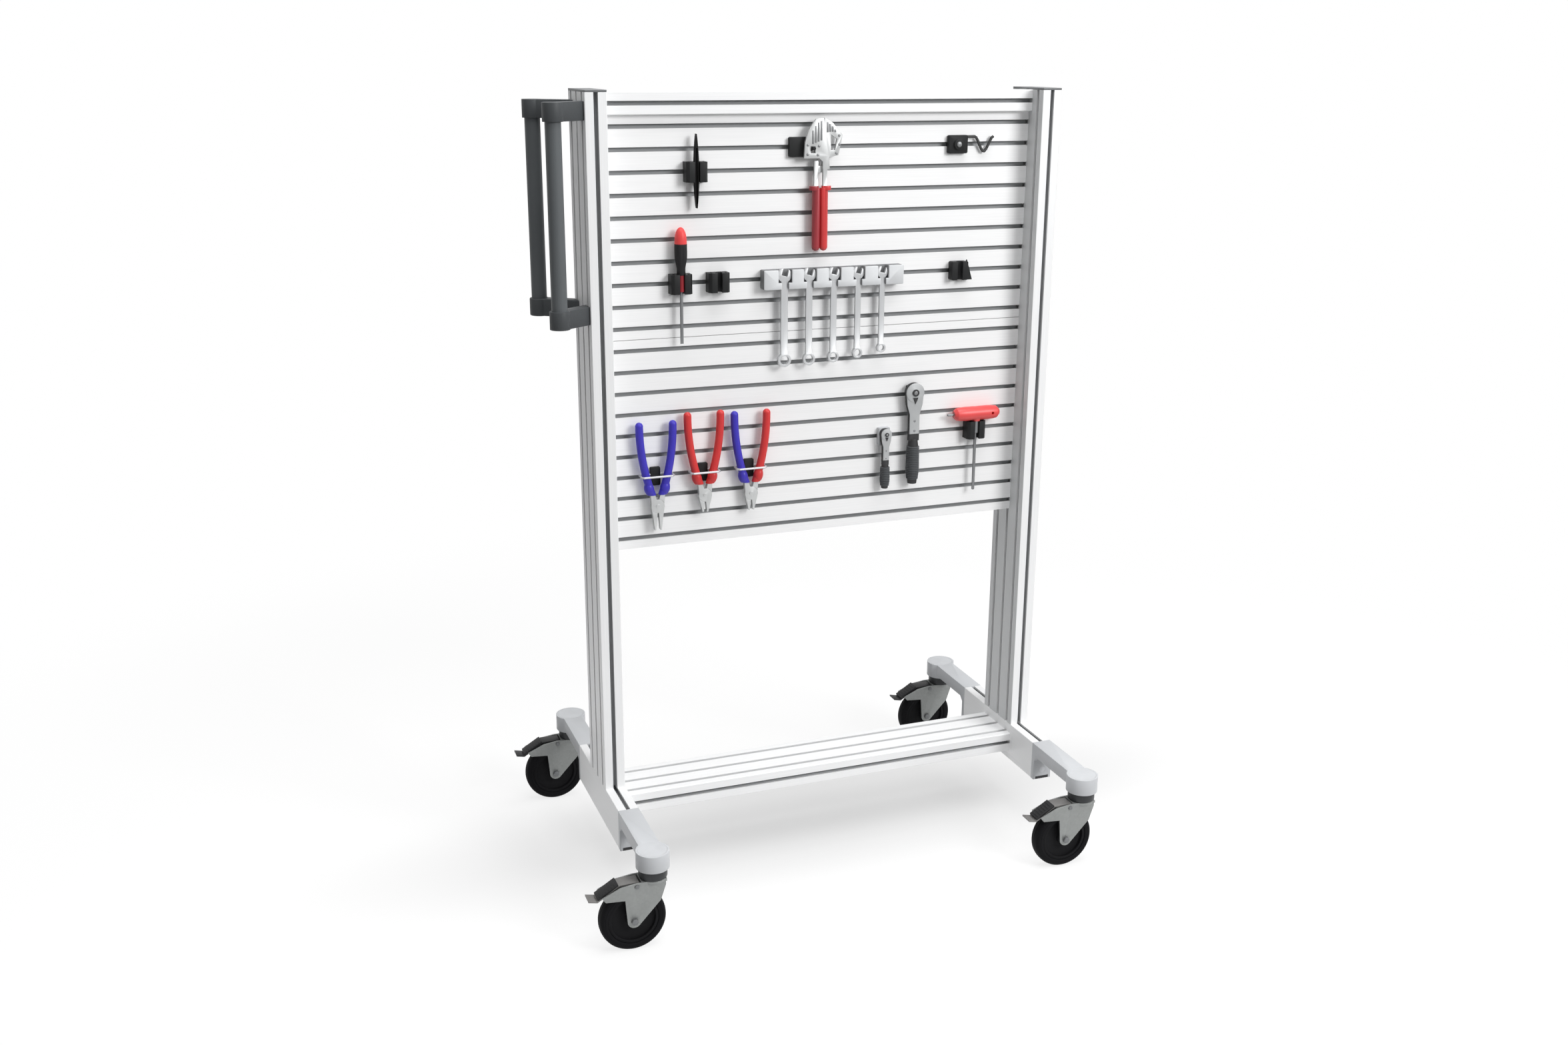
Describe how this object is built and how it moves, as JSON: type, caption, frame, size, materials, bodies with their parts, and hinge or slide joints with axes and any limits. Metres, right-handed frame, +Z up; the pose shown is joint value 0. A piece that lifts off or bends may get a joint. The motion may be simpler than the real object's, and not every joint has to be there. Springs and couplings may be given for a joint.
{
  "type": "mobile tool panel",
  "caption": "Wheeled frame of slotted aluminium profile with a slotted wall, push handles, braked swivel castors, and hand tools in clips.",
  "frame": {"origin": "on the floor, midway between the posts and halfway through their depth", "axes": "+X to the right seen from the tool side, +Y to the rear, +Z up"},
  "size_m": [1.0445, 0.7018, 1.504],
  "materials": {
    "profile": "satin anodised",
    "panel": "satin anodised",
    "cap_grey": "fine grain",
    "bracket_steel": "zinc plated",
    "screw_steel": "zinc plated",
    "handle_grey": "powder coated",
    "cast_grey": "powder coated",
    "black_plastic": "moulded",
    "fork_steel": "zinc plated",
    "wheel_black": "moulded",
    "tyre_rubber": "smooth",
    "pedal_black": "black coated",
    "clip_black": "moulded",
    "wire_steel": "bright",
    "rack_grey": "moulded",
    "tool_steel": "satin chrome",
    "tweezers_black": "black coated",
    "grip_red": "dipped",
    "grip_blue": "dipped"
  },
  "bodies": {
    "root": {"left_post": "profile", "right_post": "profile", "top_beam": "profile", "bottom_beam": "profile", "left_foot": "profile", "right_foot": "profile", "post_caps": "cap_grey", "upper_panel": "panel", "lower_panel": "panel", "panel_brackets": "bracket_steel", "slot_fasteners": "screw_steel", "frame_screws": "screw_steel", "handle_tubes": "handle_grey", "handle_brackets": "handle_grey", "castor_arms": "cast_grey", "arm_caps": "cast_grey", "castor_stems": "screw_steel", "castor_heads": "black_plastic", "spring_clips": "clip_black", "holder_blocks": "clip_black", "holder_wires": "wire_steel", "spanner_rack": "rack_grey"},
    "front_left_castor": {"front_left_fork": "fork_steel", "front_left_axle": "screw_steel"},
    "front_left_wheel": {"front_left_hub": "wheel_black", "front_left_tyre": "tyre_rubber"},
    "front_left_brake": {"front_left_pedal": "pedal_black"},
    "front_right_castor": {"front_right_fork": "fork_steel", "front_right_axle": "screw_steel"},
    "front_right_wheel": {"front_right_hub": "wheel_black", "front_right_tyre": "tyre_rubber"},
    "front_right_brake": {"front_right_pedal": "pedal_black"},
    "rear_left_castor": {"rear_left_fork": "fork_steel", "rear_left_axle": "screw_steel"},
    "rear_left_wheel": {"rear_left_hub": "wheel_black", "rear_left_tyre": "tyre_rubber"},
    "rear_left_brake": {"rear_left_pedal": "pedal_black"},
    "rear_right_castor": {"rear_right_fork": "fork_steel", "rear_right_axle": "screw_steel"},
    "rear_right_wheel": {"rear_right_hub": "wheel_black", "rear_right_tyre": "tyre_rubber"},
    "rear_right_brake": {"rear_right_pedal": "pedal_black"},
    "spanner_1_tool": {"spanner_1": "tool_steel"},
    "spanner_2_tool": {"spanner_2": "tool_steel"},
    "spanner_3_tool": {"spanner_3": "tool_steel"},
    "spanner_4_tool": {"spanner_4": "tool_steel"},
    "spanner_5_tool": {"spanner_5": "tool_steel"},
    "screwdriver_tool": {"screwdriver": "grip_red"},
    "t_driver_tool": {"t_driver": "grip_red"},
    "tweezers_tool": {"tweezers": "tweezers_black"},
    "crimper_tool": {"crimper_left": "grip_red"},
    "crimper_half": {"crimper_right": "grip_red"},
    "long_nose_tool": {"long_nose_left": "grip_blue"},
    "long_nose_half": {"long_nose_right": "grip_blue"},
    "cutter_tool": {"cutter_left": "grip_red"},
    "cutter_half": {"cutter_right": "grip_red"},
    "plier_tool": {"plier_left": "grip_blue"},
    "plier_half": {"plier_right": "grip_red"},
    "small_ratchet_tool": {"small_ratchet": "tool_steel"},
    "large_ratchet_tool": {"large_ratchet": "tool_steel"}
  },
  "joints": [
    {"name": "front_left_swivel", "type": "hinge", "parent": "root", "child": "front_left_castor", "pos_m": [-0.445, -0.32, 0.138], "axis": [0, 0, 1], "continuous": true},
    {"name": "front_left_roll", "type": "hinge", "parent": "front_left_castor", "child": "front_left_wheel", "pos_m": [-0.486, -0.32, 0.0625], "axis": [0, 1, 0], "continuous": true},
    {"name": "front_left_press", "type": "hinge", "parent": "front_left_castor", "child": "front_left_brake", "pos_m": [-0.48, -0.32, 0.1315], "axis": [0, -1, 0], "range_deg": [0, 12]},
    {"name": "front_right_swivel", "type": "hinge", "parent": "root", "child": "front_right_castor", "pos_m": [0.445, -0.32, 0.138], "axis": [0, 0, 1], "continuous": true},
    {"name": "front_right_roll", "type": "hinge", "parent": "front_right_castor", "child": "front_right_wheel", "pos_m": [0.404, -0.32, 0.0625], "axis": [0, 1, 0], "continuous": true},
    {"name": "front_right_press", "type": "hinge", "parent": "front_right_castor", "child": "front_right_brake", "pos_m": [0.41, -0.32, 0.1315], "axis": [0, -1, 0], "range_deg": [0, 12]},
    {"name": "rear_left_swivel", "type": "hinge", "parent": "root", "child": "rear_left_castor", "pos_m": [-0.445, 0.32, 0.138], "axis": [0, 0, 1], "continuous": true},
    {"name": "rear_left_roll", "type": "hinge", "parent": "rear_left_castor", "child": "rear_left_wheel", "pos_m": [-0.486, 0.32, 0.0625], "axis": [0, 1, 0], "continuous": true},
    {"name": "rear_left_press", "type": "hinge", "parent": "rear_left_castor", "child": "rear_left_brake", "pos_m": [-0.48, 0.32, 0.1315], "axis": [0, -1, 0], "range_deg": [0, 12]},
    {"name": "rear_right_swivel", "type": "hinge", "parent": "root", "child": "rear_right_castor", "pos_m": [0.445, 0.32, 0.138], "axis": [0, 0, 1], "continuous": true},
    {"name": "rear_right_roll", "type": "hinge", "parent": "rear_right_castor", "child": "rear_right_wheel", "pos_m": [0.404, 0.32, 0.0625], "axis": [0, 1, 0], "continuous": true},
    {"name": "rear_right_press", "type": "hinge", "parent": "rear_right_castor", "child": "rear_right_brake", "pos_m": [0.41, 0.32, 0.1315], "axis": [0, -1, 0], "range_deg": [0, 12]},
    {"name": "spanner_1_off", "type": "slide", "parent": "root", "child": "spanner_1_tool", "axis": [0, -1, 0], "range_m": [0, 0.06]},
    {"name": "spanner_2_off", "type": "slide", "parent": "root", "child": "spanner_2_tool", "axis": [0, -1, 0], "range_m": [0, 0.06]},
    {"name": "spanner_3_off", "type": "slide", "parent": "root", "child": "spanner_3_tool", "axis": [0, -1, 0], "range_m": [0, 0.06]},
    {"name": "spanner_4_off", "type": "slide", "parent": "root", "child": "spanner_4_tool", "axis": [0, -1, 0], "range_m": [0, 0.06]},
    {"name": "spanner_5_off", "type": "slide", "parent": "root", "child": "spanner_5_tool", "axis": [0, -1, 0], "range_m": [0, 0.06]},
    {"name": "screwdriver_off", "type": "slide", "parent": "root", "child": "screwdriver_tool", "axis": [0, 0, 1], "range_m": [0, 0.06]},
    {"name": "t_driver_off", "type": "slide", "parent": "root", "child": "t_driver_tool", "axis": [0, 0, 1], "range_m": [0, 0.15]},
    {"name": "tweezers_off", "type": "slide", "parent": "root", "child": "tweezers_tool", "axis": [0, -1, 0], "range_m": [0, 0.05]},
    {"name": "crimper_off", "type": "slide", "parent": "root", "child": "crimper_tool", "axis": [0, -1, 0], "range_m": [0, 0.05]},
    {"name": "crimper_pivot", "type": "hinge", "parent": "crimper_tool", "child": "crimper_half", "pos_m": [-0.005, -0.024, 1.37], "axis": [0, 1, 0], "range_deg": [0, 15]},
    {"name": "long_nose_off", "type": "slide", "parent": "root", "child": "long_nose_tool", "axis": [0, 0, 1], "range_m": [0, 0.12]},
    {"name": "long_nose_pivot", "type": "hinge", "parent": "long_nose_tool", "child": "long_nose_half", "pos_m": [-0.339, -0.024, 0.744], "axis": [0, -1, 0], "range_deg": [0, 8.5]},
    {"name": "cutter_off", "type": "slide", "parent": "root", "child": "cutter_tool", "axis": [0, 0, 1], "range_m": [0, 0.12]},
    {"name": "cutter_pivot", "type": "hinge", "parent": "cutter_tool", "child": "cutter_half", "pos_m": [-0.245, -0.024, 0.757], "axis": [0, -1, 0], "range_deg": [0, 8.5]},
    {"name": "plier_off", "type": "slide", "parent": "root", "child": "plier_tool", "axis": [0, 0, 1], "range_m": [0, 0.12]},
    {"name": "plier_pivot", "type": "hinge", "parent": "plier_tool", "child": "plier_half", "pos_m": [-0.152, -0.024, 0.752], "axis": [0, -1, 0], "range_deg": [0, 8.5]},
    {"name": "small_ratchet_off", "type": "slide", "parent": "root", "child": "small_ratchet_tool", "axis": [0, -1, 0], "range_m": [0, 0.04]},
    {"name": "large_ratchet_off", "type": "slide", "parent": "root", "child": "large_ratchet_tool", "axis": [0, -1, 0], "range_m": [0, 0.04]}
  ]
}
